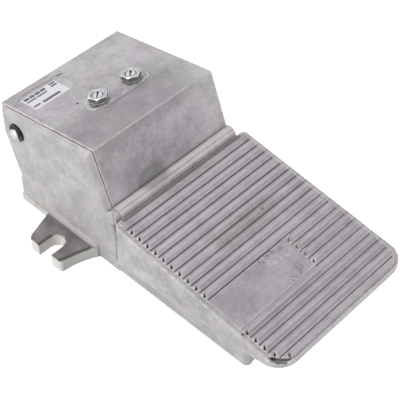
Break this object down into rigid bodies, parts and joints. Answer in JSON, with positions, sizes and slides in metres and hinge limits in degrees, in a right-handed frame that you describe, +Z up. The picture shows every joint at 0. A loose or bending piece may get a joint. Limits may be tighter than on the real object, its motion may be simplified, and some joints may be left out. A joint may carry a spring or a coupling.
{
  "type": "pneumatic foot valve",
  "caption": "Cast metal foot valve: a ribbed treadle and hood turn on a rear pin and push a spool valve in a base with slotted side lugs and threaded rear ports.",
  "frame": {"origin": "middle of the length and width, on the ground under the base", "axes": "+Z up, X across along the pivot pin, -Y toward the toe of the treadle, +Y toward the ports"},
  "size_m": [0.138, 0.2069, 0.0749],
  "materials": {
    "casting": "matte, as cast",
    "steel": "bright",
    "zinc_steel": "bright zinc",
    "black_steel": "black oxide",
    "machined_aluminium": "machined",
    "brass": "machined",
    "rubber": "matte"
  },
  "bodies": {
    "base": {"base": "casting", "pivot_pin": "steel", "pin_rings": "black_steel", "valve_body": "machined_aluminium", "valve_screws": "zinc_steel", "spool_guide": "brass", "wiper_ring": "rubber", "top_cover": "steel", "cover_screws": "zinc_steel", "bottom_plug": "brass", "plug_seal": "rubber", "stop_bumper": "rubber", "return_spring": "steel", "spool_spring": "steel"},
    "pedal": {"pedal": "casting", "striker_bolts": "zinc_steel", "bolt_washers": "zinc_steel", "striker_plate": "black_steel", "striker_nuts": "zinc_steel", "spring_cap": "black_steel"},
    "spool": {"spool": "steel", "spool_seals": "rubber"}
  },
  "joints": [
    {"name": "pedal_turn", "type": "hinge", "parent": "base", "child": "pedal", "pos_m": [0, 0.087, 0.0525], "axis": [1, 0, 0], "range_deg": [0, 3], "stiffness_Nm_per_rad": 12, "springref_deg": -2.86, "deforming": ["return_spring"]},
    {"name": "spool_slide", "type": "slide", "parent": "base", "child": "spool", "axis": [0, 0, -1], "range_m": [0, 0.0027], "deforming": ["spool_spring"]}
  ],
  "couplings": [
    {"joint": "spool_slide", "follows": "pedal_turn", "m_per_rad": 0.049}
  ]
}
